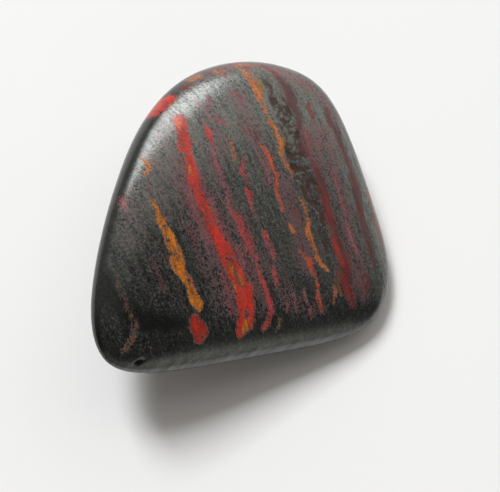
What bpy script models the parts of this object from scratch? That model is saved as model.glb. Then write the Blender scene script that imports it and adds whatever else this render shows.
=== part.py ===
"""A tumbled pebble of banded ironstone, lying on the small flat spot of its underside.

The pebble is one smooth closed form: the space inside a few worn faces and one wide ball, with every edge
between them rounded. A face is given by the way that it looks out and its distance from an inner point.
The tables are in millimetres and degrees, the scene in metres. +Z is up, and -Y is the side of the straight
edge. The origin is under the middle of the pebble, level with the flat spot.
"""

import math

import bmesh
import bpy
import numpy as np
from mathutils import Vector

MM = 0.001

# The polished face slopes down to the right and down to the straight edge, as the pebble lies
LEAN_RIGHT = 20.5
LEAN_FRONT = 12.0

# Azimuth and elevation of each outward normal, seen with the polished face level, then the distance
SIDES = {
    "right side": (19.5, -3.5, 6.2),
    "right shoulder": (53.0, -5.0, 11.6),
    "crown": (84.5, -8.0, 17.2),
    "left shoulder": (114.0, -12.5, 22.0),
    "upper left side": (150.5, -18.0, 21.0),
    "lower left side": (171.5, -19.5, 17.5),
    "left corner": (209.5, -21.0, 23.9),
    "straight edge": (281.0, -30.5, 9.0),
    "right corner": (-8.5, -5.5, 9.3),
}
TOP = {
    "polished face": (0.0, 90.0, 4.5),
    "back shoulder": (120.0, 60.0, 10.5),
}
UNDERSIDE = {
    "left": (180.0, -80.0, 7.4),
    "front": (275.0, -64.0, 5.3),
    "back": (95.0, -70.0, 8.1),
}

# The belly is part of a wide ball, whose lowest point is below the inner point by BELLY_DEPTH
BELLY_RADIUS = 200.0
BELLY_CENTRE = (-7.0, 0.2)
BELLY_DEPTH = 2.4

# The flat spot is worn a little way into the belly
FLAT_SPOT_DEPTH = 2.2

# A higher number keeps an edge sharper: between the sides, over the rim, and under the belly
SIDE_SHARPNESS = 8.0
RIM_SHARPNESS = 3.6
BELLY_SHARPNESS = 6.0

# An even ball of triangles, stretched to about the pebble's size, that settles onto its surface
BALL_SUBDIVISIONS = 5
BALL_CENTRE = (-5.1, -0.9, 3.2)
BALL_HALF_SIZE = (12.9, 14.5, 5.6)
SHORTEST_EDGE = 0.05

# A natural pit on the rim of the left corner: its azimuth and elevation from the inner point, the way that
# it opens, and its half sizes along the rim, across it and inwards
PIT_PLACE = (-133.5, 17.0)
PIT_FACING = (-60.0, 60.0)
PIT_HALF_SIZE = (0.42, 0.26, 0.26)
PIT_SEGMENTS = 16
PIT_RINGS = 8

STONE_COLOUR = (0.05, 0.045, 0.043, 1.0)
STONE_ROUGHNESS = 0.3
STONE_METALLIC = 0.5


def clear_scene():
    for old in list(bpy.data.objects):
        bpy.data.objects.remove(old, do_unlink=True)


def new_collection(name):
    collection = bpy.data.collections.new(name)
    bpy.context.scene.collection.children.link(collection)
    return collection


def directions(azimuth, elevation):
    """Unit vectors for angles in degrees, as rows."""
    around = np.radians(azimuth)
    up = np.radians(elevation)
    return np.stack([np.cos(around) * np.cos(up), np.sin(around) * np.cos(up), np.sin(up)], axis=-1)


def lean():
    """The matrix that turns the level polished face to its lean, about +Y and then about +X."""
    right = math.radians(LEAN_RIGHT)
    front = math.radians(LEAN_FRONT)
    about_y = np.array(
        [[math.cos(right), 0, math.sin(right)], [0, 1, 0], [-math.sin(right), 0, math.cos(right)]]
    )
    about_x = np.array(
        [[1, 0, 0], [0, math.cos(front), -math.sin(front)], [0, math.sin(front), math.cos(front)]]
    )
    return about_x @ about_y


def blend(terms, sharpness):
    """The rounded largest of several columns: 1 where a direction meets the surface at unit length."""
    return (terms**sharpness).sum(axis=-1) ** (1 / sharpness)


def nearness(outward, faces):
    """For each direction and face, one over the distance at which a ray from the inner point meets it."""
    azimuth, elevation, distance = np.array(list(faces.values())).T
    normals = directions(azimuth, elevation) @ lean().T
    return np.clip(outward @ normals.T / distance, 0, None)


def belly_nearness(outward):
    centre = np.array([BELLY_CENTRE[0], BELLY_CENTRE[1], BELLY_RADIUS - BELLY_DEPTH])
    along = outward @ centre
    reach = along + np.sqrt(along**2 - centre @ centre + BELLY_RADIUS**2)
    return 1 / reach


def surface_distance(outward):
    """How far the pebble's surface is from the inner point, in mm, along unit vectors given as rows."""
    sides = blend(nearness(outward, SIDES), SIDE_SHARPNESS)
    top = blend(nearness(outward, TOP), RIM_SHARPNESS)
    under = np.column_stack([nearness(outward, UNDERSIDE), belly_nearness(outward)])
    belly = blend(under, BELLY_SHARPNESS)
    return 1 / blend(np.column_stack([sides, top, belly]), RIM_SHARPNESS)


def settle(points):
    """Slides points along their rays from the inner point onto the pebble's surface."""
    outward = points / np.linalg.norm(points, axis=1)[:, None]
    return outward * surface_distance(outward)[:, None]


def wear_flat(bm):
    """Cuts the belly off at the flat spot and closes the cut with one level face."""
    cut = bmesh.ops.bisect_plane(
        bm,
        geom=bm.verts[:] + bm.edges[:] + bm.faces[:],
        dist=0.0001,
        plane_co=(0, 0, -FLAT_SPOT_DEPTH),
        plane_no=(0, 0, -1),
        clear_outer=True,
    )
    rim = [item for item in cut["geom_cut"] if isinstance(item, bmesh.types.BMEdge)]
    bmesh.ops.contextual_create(bm, geom=rim)
    bmesh.ops.remove_doubles(bm, verts=bm.verts[:], dist=SHORTEST_EDGE)
    spot = max(bm.faces, key=lambda face: len(face.verts))
    for vert in spot.verts:
        vert.co.z = -FLAT_SPOT_DEPTH


def pebble_mesh():
    """The pebble's mesh in millimetres about the inner point, and the point under its middle."""
    bm = bmesh.new()
    bmesh.ops.create_icosphere(bm, subdivisions=BALL_SUBDIVISIONS, radius=1.0)
    ball = np.array([vert.co for vert in bm.verts])
    for vert, place in zip(bm.verts, settle(ball * BALL_HALF_SIZE + BALL_CENTRE)):
        vert.co = place
    wear_flat(bm)
    bmesh.ops.recalc_face_normals(bm, faces=bm.faces[:])
    places = np.array([vert.co for vert in bm.verts])
    low, high = places.min(axis=0), places.max(axis=0)
    foot = Vector(((low[0] + high[0]) / 2, (low[1] + high[1]) / 2, low[2]))
    return bm, foot


def new_object(name, bm, collection):
    mesh = bpy.data.meshes.new(name)
    bm.to_mesh(mesh)
    bm.free()
    made = bpy.data.objects.new(name, mesh)
    collection.objects.link(made)
    return made


def pit_cutter(foot, collection):
    """A small flattened ball, half sunk in the rim of the left corner."""
    outward = directions(*PIT_PLACE)[None, :]
    place = Vector(settle(outward)[0]) - foot
    bm = bmesh.new()
    bmesh.ops.create_uvsphere(bm, u_segments=PIT_SEGMENTS, v_segments=PIT_RINGS, radius=1.0)
    bmesh.ops.scale(bm, verts=bm.verts[:], vec=Vector(PIT_HALF_SIZE) * MM)
    cutter = new_object("pit_cutter", bm, collection)
    cutter.location = place * MM
    cutter.rotation_euler = Vector(directions(*PIT_FACING)).to_track_quat("Z", "Y").to_euler()
    cutter.hide_render = True
    cutter.display_type = "WIRE"
    return cutter


def stone_material():
    material = bpy.data.materials.new("banded_ironstone")
    material.use_nodes = True
    shader = material.node_tree.nodes["Principled BSDF"]
    shader.inputs["Base Color"].default_value = STONE_COLOUR
    shader.inputs["Roughness"].default_value = STONE_ROUGHNESS
    shader.inputs["Metallic"].default_value = STONE_METALLIC
    return material


def make_stone(pebble_collection, cutter_collection):
    bm, foot = pebble_mesh()
    bmesh.ops.translate(bm, verts=bm.verts[:], vec=-foot)
    bmesh.ops.scale(bm, verts=bm.verts[:], vec=(MM, MM, MM))
    stone = new_object("stone", bm, pebble_collection)
    stone.data.shade_smooth()
    stone.data.materials.append(stone_material())
    pit = stone.modifiers.new("pit", "BOOLEAN")
    pit.operation = "DIFFERENCE"
    pit.solver = "EXACT"
    pit.object = pit_cutter(foot, cutter_collection)


def main():
    clear_scene()
    make_stone(new_collection("banded_ironstone"), new_collection("cutters"))


main()
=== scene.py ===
"""The looks of a tumbled pebble of banded ironstone, in place of its plain solid.

One fine mesh has the same rounded form as the plain solid, and replaces it. It carries the shallow relief of
the rough bands, and measures of where the bands run, which the material turns into red jasper, ochre and
maroon in grey hematite. Lengths are in millimetres and angles in degrees, unless a comment says otherwise.
The scene itself is in metres.
"""

import math

import bpy
import numpy as np
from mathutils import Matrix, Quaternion, Vector, noise


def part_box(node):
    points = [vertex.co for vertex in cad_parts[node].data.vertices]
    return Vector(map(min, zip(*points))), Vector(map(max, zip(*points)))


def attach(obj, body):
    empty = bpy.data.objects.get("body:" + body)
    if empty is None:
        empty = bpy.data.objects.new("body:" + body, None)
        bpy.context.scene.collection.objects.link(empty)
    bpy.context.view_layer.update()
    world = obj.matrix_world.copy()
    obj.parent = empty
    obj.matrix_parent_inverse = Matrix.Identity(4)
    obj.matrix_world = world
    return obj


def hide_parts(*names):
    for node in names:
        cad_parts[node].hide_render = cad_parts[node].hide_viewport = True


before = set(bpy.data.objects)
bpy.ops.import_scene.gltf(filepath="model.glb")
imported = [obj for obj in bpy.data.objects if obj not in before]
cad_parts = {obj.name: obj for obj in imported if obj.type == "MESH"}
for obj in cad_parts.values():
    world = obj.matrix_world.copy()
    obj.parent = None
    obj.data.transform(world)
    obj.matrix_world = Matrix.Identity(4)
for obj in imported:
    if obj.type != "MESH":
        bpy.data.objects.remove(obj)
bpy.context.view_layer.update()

MM = 0.001

# The pebble's form, as in its solid: the lean of the polished face, then for each face the azimuth and
# elevation of its outward normal, seen with the polished face level, and its distance from the inner point
LEAN_RIGHT = 20.5
LEAN_FRONT = 12.0
SIDES = {
    "right side": (19.5, -3.5, 6.2),
    "right shoulder": (53.0, -5.0, 11.6),
    "crown": (84.5, -8.0, 17.2),
    "left shoulder": (114.0, -12.5, 22.0),
    "upper left side": (150.5, -18.0, 21.0),
    "lower left side": (171.5, -19.5, 17.5),
    "left corner": (209.5, -21.0, 23.9),
    "straight edge": (281.0, -30.5, 9.0),
    "right corner": (-8.5, -5.5, 9.3),
}
TOP = {
    "polished face": (0.0, 90.0, 4.5),
    "back shoulder": (120.0, 60.0, 10.5),
}
UNDERSIDE = {
    "left": (180.0, -80.0, 7.4),
    "front": (275.0, -64.0, 5.3),
    "back": (95.0, -70.0, 8.1),
}
# The belly is part of a wide ball. Its lowest point and the flat spot are these depths below the inner point
BELLY_RADIUS = 200.0
BELLY_CENTRE = (-7.0, 0.2)
BELLY_DEPTH = 2.4
FLAT_SPOT_DEPTH = 2.2
# How sharply the faces meet each other: the higher, the less rounded
SIDE_SHARPNESS = 8.0
RIM_SHARPNESS = 3.6
BELLY_SHARPNESS = 6.0

# The pit on the rim of the left corner, a little narrower than in the solid: the azimuth and elevation of its
# place, seen from the inner point, then those of its facing, and its half sizes along, across and in depth
PIT_PLACE = (-133.5, 17.0)
PIT_FACING = (-108.0, 60.0)
PIT_HALF_SIZE = (0.36, 0.12, 0.10)
# Its rim is rounded inwards from a little outside its half sizes, and it ends this many half depths away
PIT_RIM = 1.2
PIT_HEIGHT = 4

# How many cells the fine mesh has along, across and through the pebble, and a coarse one to find its extents
CELLS = (172, 188, 44)
COARSE_CELLS = (12, 12, 8)

# The layers of the rock go down to the left: this far left for each step down
LAYER_DIP = 0.8
# On the polished face they run down to the right, this many degrees from +Y
STRIKE = 21.0
# Deeper than this the bands wander, as widths with seeds in x and y. They do so fully after the stretch
SEEN_DEPTH = 3.6
WANDER_STRETCH = 2.0
WANDER = ((0.7, 8), (1.4, 9))
WANDER_SIZE = 2.2
# They also thin out there, by this much half width for each millimetre of depth, and unevenly
THINNING = 0.09
THINNING_UNEVENNESS = 1.8
THINNING_SIZE = 1.6
THINNING_SEED = 10

# Smooth lines through the points of a band are followed in steps of this length
STEP = 0.1
# A measure of distance from a band goes down to this far outside it, and from a cloud to this far
FAR_OUTSIDE = -1.2
FAR_FROM_CLOUD = -1.5
# A cloud's core is this share of its half width. It thins from inside the core to outside it
CLOUD_CORE = 0.6
CLOUD_EDGE = (-0.9, 0.3)
# Neighbouring bands pass into each other over about this distance
BLEND = 0.06

# Ragged edges of the islands in the broken zone, as width, feature size and seed, and the seam along them
ISLAND_WOBBLES = ((0.3, 0.8, 5), (0.15, 0.35, 6))
ISLAND_SEAM = 0.04
# Cracks in the broken zone: their reach, how fast they narrow, their feature size, and their stretch along Y
CRACK_REACH = 0.11
CRACK_NARROWING = 0.75
CRACK_SIZE = 0.62
CRACK_STRETCH = (1, 0.8, 1)
CRACK_SEED = 7

# The left flank is painted darker, as shade for the dark room that its rim mirrors: how dark, by how much it
# faces left, the depths at which that fades, and how uneven the fading is, as width, feature size and seed
FLANK_PAINTED_SHADE = 0.9
FLANK_FACING = (0.1, 0.5)
FLANK_FADE = (2.8, 6.5)
FLANK_WOBBLE = (0.8, 2.5, 11)
# The near side is plainer rock, and worn along the straight edge, by how much it faces the viewer
NEAR_EDGE_PLAINNESS = 0.65
NEAR_EDGE_FACING = (0.18, 0.4)
WORN_FACING = (0.45, 0.65)
# The lines of wear slant by this many degrees from +X
WEAR_SLANT = 38.0

# Low unevenness of the polish, as height, feature size and seed
UNEVENNESS = ((0.010, 3.0, 1), (0.004, 1.1, 2))
# How deep the broken zone and the bands lie below the polish, and over what reach they step down
BROKEN_DEPTH = 0.035
BROKEN_STEP = (-0.1, 0.2)
BAND_DEPTH = 0.006
BAND_STEP = (-0.05, 0.1)
# The flat spot stays flat up to this far above it
FLAT_MARGIN = 0.01

# Colours of the minerals, as red, green and blue from 0 to 255
HEMATITE = (136, 139, 133)
HEMATITE_DARK = (76, 78, 81)
MAUVE = (122, 99, 99)
THREAD = (118, 53, 52)
UMBER = (50, 36, 27)
RUSSET = (76, 47, 36)
# Painted shade: the dark inside the pit, in place of the shade that falls into the hollow
PIT_PAINTED_SHADE = (48, 44, 46)
SPARKLE = (225, 222, 212)
RED = (170, 45, 32)
SCARLET = (168, 66, 34)
SALMON = (196, 86, 54)
ROSE = (126, 68, 72)
ROSE_RED = (156, 56, 54)
DEEP_RED = (142, 40, 27)
RUST = (126, 46, 32)
BLOOD = (104, 34, 32)
RIM_BROWN = (118, 70, 52)
MAROON = (84, 40, 40)
MAUVE_RED = (114, 66, 69)
ORANGE = (172, 94, 36)
ORANGE_DIM = (150, 86, 48)
OCHRE = (172, 98, 20)
OLIVE = (118, 84, 36)
BROWN = (92, 58, 40)

# Noises of the material: sizes of their features across the bands, along them and in depth, then how fine
# their detail is and a shift that sets each apart
NOISES = {
    "ragged": ((0.25, 0.7, 0.8), 3.0, 1.0),
    "fine": ((0.085, 0.13, 0.1), 1.5, 2.0),
    "streaks": ((0.35, 3.0, 2.0), 3.0, 3.0),
    "mottle": ((0.16, 0.24, 0.2), 2.0, 4.0),
    "sparks": ((0.1, 0.1, 0.1), 0.0, 5.0),
    "patches": ((0.6, 1.6, 1.4), 2.0, 6.0),
    "threads": ((0.3, 3.6, 3.0), 2.0, 7.0),
}
WEAR_NOISE = ((0.3, 4.0, 1.0), 2.0, 8.0)
NOISE_ROUGHNESS = 0.55

# How much of each noise goes into each look, and into the bump in millimetres
HEMATITE_GRAINS = {"streaks": 0.7, "mottle": 1.0, "fine": 0.9}
MAUVE_GRAINS = {"streaks": 0.6, "patches": 0.5, "fine": 1.2, "mottle": 1.7}
THREAD_GRAINS = {"threads": 1.0, "fine": 0.55, "patches": 0.3}
BROKEN_GRAINS = {"ragged": 0.15, "fine": 0.2}
UMBER_GRAINS = {"patches": 1.0, "mottle": 1.0, "fine": 1.0}
DARK_GRAINS = {"patches": 0.5, "mottle": 0.4}
COVER_GRAINS = {"patches": 1.0, "mottle": 0.7, "fine": 0.8}
TONE_GRAINS = {"mottle": 1.0, "streaks": 1.0, "patches": 1.0, "fine": 1.0}
BUMP_GRAINS = {"fine": 0.004, "mottle": 0.008, "ragged": 0.006}

# How much a cloud adds to the mauve grains and to the red threads
CLOUD_IN_MAUVE = 0.55
CLOUD_IN_THREADS = 0.14
# How far a band's edge frays with the ragged noise, and the graininess that every band has besides its own
BAND_FRAYING = 0.5
LEAST_GRIT = 0.3
# How far calm rock goes towards an even grey
CALMING = 0.8
# The most that brown rock covers the grey in the broken zone
BROKEN_COVER = 0.95

# Ranges over which a value turns into a share from 0 to 1, or into a factor between the two last numbers
HEMATITE_RANGE = (-0.3, 0.3)
MAUVE_RANGE = (0.1, 0.6)
THREAD_RANGE = (0.16, 0.34)
BROKEN_RANGE = (-0.1, 0.1)
UMBER_RANGE = (-0.2, 0.4)
BAND_RANGE = (-0.14, 0.12)
PIT_RANGE = (0.05, 0.5)
SPARK_RANGE = (0.35, 0.385)
PLAIN_RANGE = (0.0, 0.8, 0.9, 0.1)
DARK_RANGE = (0.1, 0.95, 1.0, 0.5)
WEAR_RANGE = (-0.3, 0.3, 0.48, 1.06)
COVER_RANGE = (-0.35, 0.1, 0.6, 1.0)
TONE_RANGE = (-0.45, 0.45, 0.5, 1.35)
BUMP_RANGE = (0.0, 1.0, 1.0, 0.5)

# How metallic each mineral is. The pit and the bright grains are all metal; in the pit that keeps its painted
# shade dark
HEMATITE_METALLIC = 0.93
MAUVE_METALLIC = 0.6
THREAD_METALLIC = 0.3
BROKEN_METALLIC = 0.35
BAND_METALLIC = 0.0
BARE_METALLIC = 1.0

# The polish, and how much rougher mottled rock, broken rock and the pit are
POLISH = 0.24
MOTTLE_ROUGHNESS = 0.2
BROKEN_ROUGHNESS = 0.25
PIT_ROUGHNESS = 0.4
IOR = 1.54

# The camera: the point it looks at, from the middle of the pebble's foot, and how it stands
CAMERA_TARGET = (0.4, 0.0, -2.8)
CAMERA_ELEVATION = 72.0
CAMERA_DISTANCE = 112.0
CAMERA_NEAREST = 1.0
PICTURE_WIDTH = 47.6
SENSOR_WIDTH = 36.0

# The sheet under the pebble, with its size in metres
FLOOR_SIZE = 3.0
PAPER = (0.80, 0.80, 0.80, 1.0)
PAPER_ROUGHNESS = 0.9
PAPER_SPECULAR = 0.1

# Lights: azimuth, elevation, roll, width and height in metres, watts, colour, and whether the light only
# shows as a mirrored shine, or else only lights surfaces and casts shadows
DAYLIGHT = (0.965, 0.985, 1.0)
ROOM_COLOUR = (1.0, 0.93, 0.86)
LIGHTS = {
    "window": (109.5, 41.5, -12.0, 0.95, 0.56, 6.4, DAYLIGHT, True),
    "window_fill": (120.5, 52.5, 0.0, 0.34, 0.50, 14.2, DAYLIGHT, False),
    "ceiling": (0.0, 90.0, 0.0, 2.0, 2.0, 2.0, ROOM_COLOUR, False),
}
# They stand this far from a point at this height over the sheet, in metres
LIGHT_DISTANCE = 1.2
LIGHT_AIM = 0.006

# The room's brightness by direction, as ramps from one value to another between two parts of the direction:
# behind the pebble, straight behind it, in front, less above the front, and less to the left
ROOM_BEHIND = (-0.28, 0.45, 0.02, 0.92)
ROOM_STRAIGHT_BEHIND = (0.8, 1.0, 0.0, 0.66)
ROOM_FRONT = (-0.43, -0.66, 0.0, 0.46)
ROOM_FRONT_LOW = (0.75, 0.5, 0.0, 1.0)
ROOM_LEFT = (-0.6, 0.45, 0.4, 1.0)
# A dark patch of the room, in this direction
DARK_DIRECTION = (0.35, -0.22, 0.91)
ROOM_DARK = (0.88, 0.98, 1.0, 0.08)
ROOM_WARMTH = (1.0, 0.955, 0.90, 1.0)

# Bands: name, colour, how grainy, and points down the middle as x, y and half width. The places are those at
# which the layer meets the plane of the polished face, from the middle of the pebble's foot
BANDS = [
    ("maroon band", MAROON, 0.8, [
        (3.9, 12.4, 0.2), (4.2, 11.8, 0.3), (4.4, 11.2, 0.36), (4.6, 10.6, 0.43), (4.7, 10.0, 0.48),
        (4.8, 9.3, 0.36), (5.1, 8.7, 0.25), (5.1, 8.0, 0.25), (5.1, 7.5, 0.28),
    ]),
    ("mauve band", MAUVE_RED, 0.5, [
        (5.3, 7.4, 0.19), (5.5, 6.9, 0.38), (5.6, 6.2, 0.43), (5.7, 5.4, 0.38), (5.9, 4.8, 0.29),
        (6.2, 4.1, 0.29),
    ]),
    ("lower maroon band", MAROON, 0.4, [
        (5.0, 5.5, 0.19), (5.3, 5.4, 0.29), (5.8, 5.0, 0.24), (6.2, 4.1, 0.3), (6.5, 3.4, 0.33),
        (6.8, 2.4, 0.43), (7.1, 1.6, 0.38),
    ]),
    ("bright maroon band", BLOOD, 1.3, [
        (7.1, 1.9, 0.2), (7.1, 1.3, 0.32), (7.2, 0.7, 0.37), (7.5, -0.2, 0.37), (7.7, -1.1, 0.32),
        (7.9, -2.0, 0.41), (8.2, -2.9, 0.48), (8.6, -3.6, 0.53), (8.8, -4.4, 0.53), (8.8, -5.1, 0.48),
        (8.9, -5.7, 0.41), (9.1, -6.3, 0.32), (9.4, -7.0, 0.25), (9.7, -7.6, 0.16),
    ]),
    ("right maroon", MAROON, 0.9, [
        (7.9, 9.6, 0.16), (7.9, 9.0, 0.22), (8.0, 8.4, 0.26), (8.4, 8.0, 0.3), (8.6, 7.4, 0.34),
        (8.7, 6.8, 0.3), (9.0, 6.1, 0.27), (9.3, 5.3, 0.27), (9.6, 4.5, 0.3), (9.8, 3.6, 0.4),
        (10.1, 2.9, 0.43), (10.2, 2.0, 0.43), (10.3, 1.2, 0.4), (10.4, 0.3, 0.37), (10.7, -0.7, 0.34),
        (11.0, -1.5, 0.27), (11.2, -2.4, 0.27), (11.4, -3.1, 0.18), (11.7, -3.9, 0.13),
    ]),
    ("right mauve thread", ROSE, 0.6, [
        (7.6, 4.2, 0.08), (7.9, 3.4, 0.1), (8.3, 2.6, 0.1), (8.5, 1.4, 0.09), (8.8, 0.4, 0.09),
        (9.0, -0.6, 0.11), (9.3, -1.4, 0.15), (9.5, -2.2, 0.12), (9.9, -2.9, 0.1),
    ]),
    ("right corner patch", MAROON, 0.7, [(10.7, -4.8, 0.19), (11.0, -5.3, 0.24), (10.9, -5.9, 0.19)]),
    ("upper right fleck", BLOOD, 0.3, [
        (6.2, 9.9, 0.1), (6.2, 9.5, 0.17), (6.4, 9.0, 0.15), (6.4, 8.6, 0.09),
    ]),
    ("upper right thread", ROSE, 0.4, [(7.0, 7.3, 0.07), (6.9, 6.7, 0.09), (6.8, 5.9, 0.07)]),
    ("middle right fleck", ROSE, 0.4, [(8.0, 3.1, 0.07), (8.1, 2.8, 0.09), (8.2, 2.5, 0.07)]),
    ("right rim", RIM_BROWN, 0.6, [
        (11.6, 3.0, 0.16), (11.7, 1.6, 0.22), (12.0, 0.6, 0.26), (12.4, -0.4, 0.26),
        (12.7, -1.2, 0.22), (13.0, -2.0, 0.14),
    ]),
    ("main red", RED, 0.55, [
        (-4.4, 7.4, 0.26), (-4.4, 6.8, 0.38), (-4.4, 6.0, 0.33), (-4.4, 5.4, 0.38), (-4.4, 4.7, 0.5),
        (-4.4, 4.1, 0.42), (-4.2, 3.6, 0.33), (-4.1, 2.9, 0.36), (-4.0, 2.2, 0.42), (-3.9, 1.6, 0.53),
        (-3.7, 0.8, 0.46), (-3.5, 0.1, 0.42), (-3.2, -0.8, 0.42), (-3.0, -1.3, 0.46),
        (-2.7, -2.1, 0.5), (-2.2, -3.1, 0.5), (-1.7, -4.0, 0.59), (-1.3, -4.6, 0.67),
    ]),
    ("main red left strand", RED, 0.4, [
        (-1.6, -4.9, 0.42), (-1.3, -5.5, 0.42), (-1.0, -6.3, 0.29), (-0.7, -6.9, 0.26),
        (-0.5, -7.6, 0.29), (-0.3, -8.4, 0.33), (-0.2, -9.0, 0.29), (-0.2, -9.6, 0.29),
        (-0.2, -10.2, 0.42), (-0.3, -10.9, 0.26),
    ]),
    ("main red right strand", RED, 0.4, [
        (-1.0, -4.8, 0.32), (-0.6, -5.4, 0.25), (-0.3, -6.0, 0.2), (-0.1, -6.7, 0.32),
        (0.2, -7.2, 0.41), (0.3, -7.9, 0.44), (0.4, -8.5, 0.44), (0.5, -9.1, 0.32), (0.5, -9.6, 0.32),
        (0.3, -10.3, 0.32),
    ]),
    ("main red fringe", MAUVE_RED, 1.8, [
        (-4.8, 3.1, 0.14), (-4.6, 1.6, 0.18), (-4.2, -0.1, 0.29), (-3.7, -1.7, 0.32),
        (-3.2, -3.1, 0.29), (-2.6, -4.3, 0.25), (-2.0, -5.4, 0.25), (-1.6, -6.7, 0.29),
        (-1.3, -8.0, 0.36), (-0.8, -9.1, 0.36),
    ]),
    ("main red right fringe", MAUVE_RED, 1.8, [
        (-3.6, 2.5, 0.11), (-3.1, 1.0, 0.18), (-2.6, -0.3, 0.22), (-2.0, -1.5, 0.22),
        (-1.4, -2.8, 0.22), (-0.7, -4.0, 0.22), (-0.1, -5.2, 0.25), (0.4, -6.4, 0.22),
    ]),
    ("rim red", RED, 0.7, [
        (-5.8, 7.9, 0.21), (-5.5, 8.3, 0.29), (-5.1, 8.8, 0.33), (-4.6, 9.3, 0.33), (-4.3, 9.7, 0.21),
    ]),
    ("second red", ROSE_RED, 0.4, [
        (-2.6, 6.5, 0.14), (-2.5, 6.0, 0.27), (-2.4, 5.4, 0.24), (-2.3, 5.0, 0.14),
    ]),
    ("second red thread", ROSE, 0.9, [
        (-2.3, 5.0, 0.11), (-2.2, 4.1, 0.1), (-2.1, 3.3, 0.11), (-1.8, 2.6, 0.14), (-1.7, 1.9, 0.12),
        (-1.4, 1.1, 0.14), (-1.3, 0.0, 0.12), (-1.1, -0.7, 0.17),
    ]),
    ("second red middle", ROSE_RED, 1.1, [
        (-1.1, -0.7, 0.13), (-0.5, -1.3, 0.24), (-0.3, -1.9, 0.26), (0.0, -2.5, 0.3), (0.3, -3.1, 0.3),
        (0.4, -3.7, 0.26), (0.7, -4.2, 0.22), (0.8, -4.6, 0.09),
    ]),
    ("second red lower", ROSE_RED, 0.7, [
        (1.0, -5.0, 0.1), (1.3, -6.0, 0.16), (1.6, -6.5, 0.17), (1.8, -7.2, 0.2), (2.1, -7.8, 0.2),
        (2.2, -8.4, 0.2), (2.2, -9.0, 0.2), (2.0, -9.7, 0.17), (1.7, -10.3, 0.11),
    ]),
    ("upper fleck", ROSE, 0.6, [(-2.1, 9.5, 0.08), (-2.0, 9.1, 0.11), (-2.0, 8.5, 0.08)]),
    ("upper brown fleck", ROSE, 0.7, [(-0.1, 10.0, 0.14), (0.3, 9.8, 0.21), (0.6, 9.4, 0.14)]),
    ("upper rose fleck", ROSE, 0.8, [(-1.7, 7.4, 0.19), (-1.4, 7.2, 0.19), (-1.1, 6.9, 0.14)]),
    ("third dots", ORANGE_DIM, 0.5, [
        (-1.0, 5.5, 0.1), (-0.8, 5.1, 0.13), (-0.7, 4.6, 0.1), (-0.6, 3.8, 0.1),
    ]),
    ("third red upper", ROSE_RED, 0.5, [
        (0.1, 3.9, 0.11), (0.0, 3.3, 0.14), (-0.1, 2.9, 0.18), (0.2, 2.4, 0.12), (0.4, 1.8, 0.11),
    ]),
    ("third red", ROSE_RED, 0.5, [
        (0.3, 1.4, 0.16), (0.5, 1.0, 0.27), (0.5, 0.6, 0.2), (0.7, -0.2, 0.1), (1.0, -1.0, 0.06),
    ]),
    ("third red lower", ROSE_RED, 0.3, [
        (1.6, -2.1, 0.14), (1.8, -2.5, 0.21), (2.0, -3.0, 0.16), (2.3, -3.6, 0.15), (2.6, -4.4, 0.1),
    ]),
    ("third red end", ROSE_RED, 0.6, [(2.5, -5.1, 0.12), (2.5, -5.7, 0.13), (2.7, -6.5, 0.1)]),
    ("thin orange speck", MAROON, 0.3, [(1.2, 6.8, 0.1), (1.3, 6.3, 0.11), (1.5, 5.8, 0.08)]),
    ("thin orange", SCARLET, 0.25, [
        (1.6, 5.4, 0.11), (1.9, 5.1, 0.12), (2.1, 4.8, 0.17), (2.4, 4.1, 0.19), (2.5, 3.5, 0.17),
        (2.8, 2.9, 0.15), (2.8, 2.2, 0.12), (2.8, 1.6, 0.13), (2.9, 1.1, 0.11), (3.2, 0.4, 0.08),
        (3.3, 0.0, 0.12),
    ]),
    ("thin orange dot", ORANGE, 0.1, [(3.9, -1.3, 0.09), (4.1, -1.6, 0.14), (4.2, -1.9, 0.08)]),
    ("thin rose", ROSE, 0.6, [(1.5, 4.7, 0.08), (1.9, 3.8, 0.09), (2.1, 2.9, 0.09), (2.3, 2.2, 0.06)]),
    ("right orange head", ORANGE, 0.25, [
        (1.4, 12.5, 0.18), (1.5, 12.0, 0.26), (1.6, 11.6, 0.26), (1.8, 11.2, 0.3), (1.9, 10.6, 0.32),
        (1.9, 10.1, 0.26), (2.0, 9.6, 0.21),
    ]),
    ("right olive", OLIVE, 0.2, [
        (2.1, 11.7, 0.15), (2.2, 11.3, 0.2), (2.3, 10.8, 0.22), (2.2, 10.3, 0.15),
    ]),
    ("right orange", ORANGE, 0.2, [
        (2.0, 9.6, 0.11), (2.2, 9.1, 0.11), (2.3, 8.5, 0.12), (2.4, 7.9, 0.12), (2.6, 7.5, 0.19),
        (2.9, 7.1, 0.24), (3.0, 6.6, 0.21), (3.2, 6.2, 0.23), (3.3, 5.9, 0.21), (3.3, 5.4, 0.19),
        (3.3, 4.9, 0.16), (3.5, 4.4, 0.13), (3.8, 3.8, 0.1), (4.1, 3.4, 0.11), (4.3, 2.8, 0.05),
    ]),
    ("right ochre edge", OLIVE, 0.2, [
        (3.6, 6.2, 0.1), (3.6, 5.8, 0.14), (3.5, 5.4, 0.15), (3.5, 4.8, 0.11),
    ]),
    ("right orange lower", ORANGE, 0.2, [
        (4.8, 1.5, 0.06), (5.0, 0.8, 0.11), (5.3, 0.3, 0.14), (5.4, -0.2, 0.16), (5.5, -0.7, 0.16),
        (5.5, -1.2, 0.17), (5.5, -1.8, 0.23), (5.8, -2.4, 0.19), (6.0, -3.0, 0.17), (6.2, -3.5, 0.17),
        (6.3, -3.8, 0.23), (6.6, -4.3, 0.17), (7.0, -4.6, 0.14), (7.2, -4.8, 0.09),
    ]),
    ("thin scarlet", SCARLET, 0.2, [
        (4.7, -3.4, 0.08), (5.0, -3.6, 0.11), (5.3, -3.9, 0.14), (5.6, -4.3, 0.21), (5.8, -4.9, 0.19),
        (6.1, -5.4, 0.14), (6.3, -5.9, 0.1), (6.3, -6.6, 0.1), (6.4, -7.2, 0.13), (6.6, -7.8, 0.15),
        (6.8, -8.3, 0.14),
    ]),
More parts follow.
